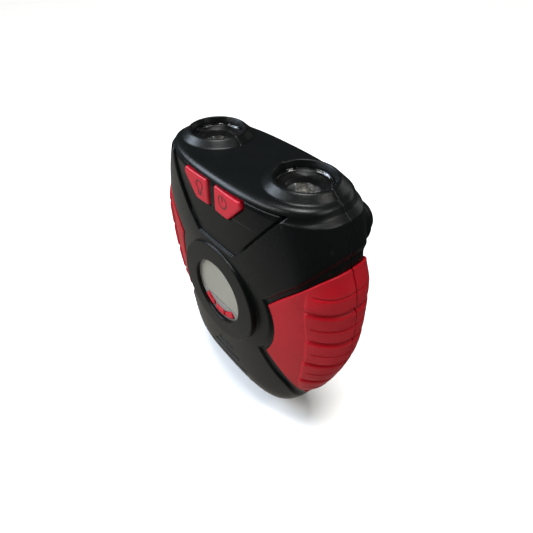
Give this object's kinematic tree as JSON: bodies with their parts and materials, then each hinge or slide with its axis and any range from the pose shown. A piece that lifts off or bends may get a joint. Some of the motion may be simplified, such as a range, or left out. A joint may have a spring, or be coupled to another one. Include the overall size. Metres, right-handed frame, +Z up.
{
  "type": "palm-held speed radar",
  "caption": "Palm-held speed radar: flat-topped rounded black housing with lamps on top, round display window, push buttons and ribbed red side grips.",
  "frame": {"origin": "centre of the bounding box, on the plane midway between the display boss and the trigger face", "axes": "+X right seen from the display side, display faces -Y, +Z up towards the lamps"},
  "size_m": [0.0962, 0.0374, 0.1106],
  "materials": {
    "black_shell": "fine moulded texture",
    "black_gloss": "smooth",
    "red_rubber": "soft satin",
    "red_button": "satin",
    "clear_lens": "polished",
    "seal_rubber": "matte",
    "bright_plating": "vacuum plated",
    "led_resin": "clear dome over phosphor",
    "circuit_board": "solder mask",
    "chip_resin": "moulded resin",
    "lead_sheath": "wire insulation",
    "switch_can": "pressed sheet",
    "grey_plastic": "fine texture",
    "lcd_glass": "reflective display",
    "diffuser": "milky",
    "antenna_laminate": "ceramic-filled laminate",
    "tinned_steel": "tinned",
    "speaker_metal": "pressed steel",
    "spring_steel": "bright",
    "cell_jacket": "printed sleeve, plain",
    "zinc_screw": "zinc plated"
  },
  "bodies": {
    "housing": {"battery_cell_1": "cell_jacket", "battery_cell_2": "cell_jacket", "battery_cell_3": "cell_jacket", "battery_contacts": "spring_steel", "battery_springs": "spring_steel", "battery_tray": "black_shell", "board_chips": "chip_resin", "board_screws": "zinc_screw", "button_board": "circuit_board", "button_switches": "switch_can", "display_frame": "grey_plastic", "front_shell": "black_shell", "grip_front_left": "red_rubber", "grip_front_right": "red_rubber", "grip_rear_left": "red_rubber", "grip_rear_right": "red_rubber", "key_switches": "switch_can", "lamp_leads": "lead_sheath", "lamp_lens_left": "clear_lens", "lamp_lens_right": "clear_lens", "lcd_backlight": "diffuser", "lcd_connector": "seal_rubber", "lcd_panel": "lcd_glass", "led_board_left": "circuit_board", "led_board_right": "circuit_board", "led_left": "led_resin", "led_right": "led_resin", "lens_gasket_left": "seal_rubber", "lens_gasket_right": "seal_rubber", "main_board": "circuit_board", "radar_antenna": "antenna_laminate", "radar_can": "tinned_steel", "rear_shell": "black_shell", "reflector_left": "bright_plating", "reflector_right": "bright_plating", "shell_screws": "zinc_screw", "speaker": "speaker_metal", "trigger_board": "circuit_board", "trigger_switch": "switch_can"},
    "power_button": {"power_button": "red_button"},
    "light_button": {"light_button": "red_button"},
    "mode_key": {"mode_key": "red_button"},
    "units_key": {"units_key": "red_button"},
    "hold_key": {"hold_key": "red_button"},
    "trigger": {"trigger_button": "black_gloss", "trigger_spring": "spring_steel"},
    "battery_cover": {"battery_door": "black_shell", "door_screw": "zinc_screw"}
  },
  "joints": [
    {"name": "power_button_press", "type": "slide", "parent": "housing", "child": "power_button", "axis": [0, 1, 0], "range_m": [0, 0.0008], "stiffness_N_per_m": 1200, "springref_m": -0.0005},
    {"name": "light_button_press", "type": "slide", "parent": "housing", "child": "light_button", "axis": [0, 1, 0], "range_m": [0, 0.0008], "stiffness_N_per_m": 1200, "springref_m": -0.0005},
    {"name": "mode_key_press", "type": "slide", "parent": "housing", "child": "mode_key", "axis": [0, 1, 0], "range_m": [0, 0.0005], "stiffness_N_per_m": 1000, "springref_m": -0.0005},
    {"name": "units_key_press", "type": "slide", "parent": "housing", "child": "units_key", "axis": [0, 1, 0], "range_m": [0, 0.0005], "stiffness_N_per_m": 1000, "springref_m": -0.0005},
    {"name": "hold_key_press", "type": "slide", "parent": "housing", "child": "hold_key", "axis": [0, 1, 0], "range_m": [0, 0.0005], "stiffness_N_per_m": 1000, "springref_m": -0.0005},
    {"name": "trigger_press", "type": "slide", "parent": "housing", "child": "trigger", "axis": [0, -1, 0], "range_m": [0, 0.0015], "stiffness_N_per_m": 900, "springref_m": -0.0005, "deforming": ["trigger_spring"]},
    {"name": "battery_cover_lift", "type": "slide", "parent": "housing", "child": "battery_cover", "axis": [0, 1, 0], "range_m": [0, 0.025]}
  ]
}
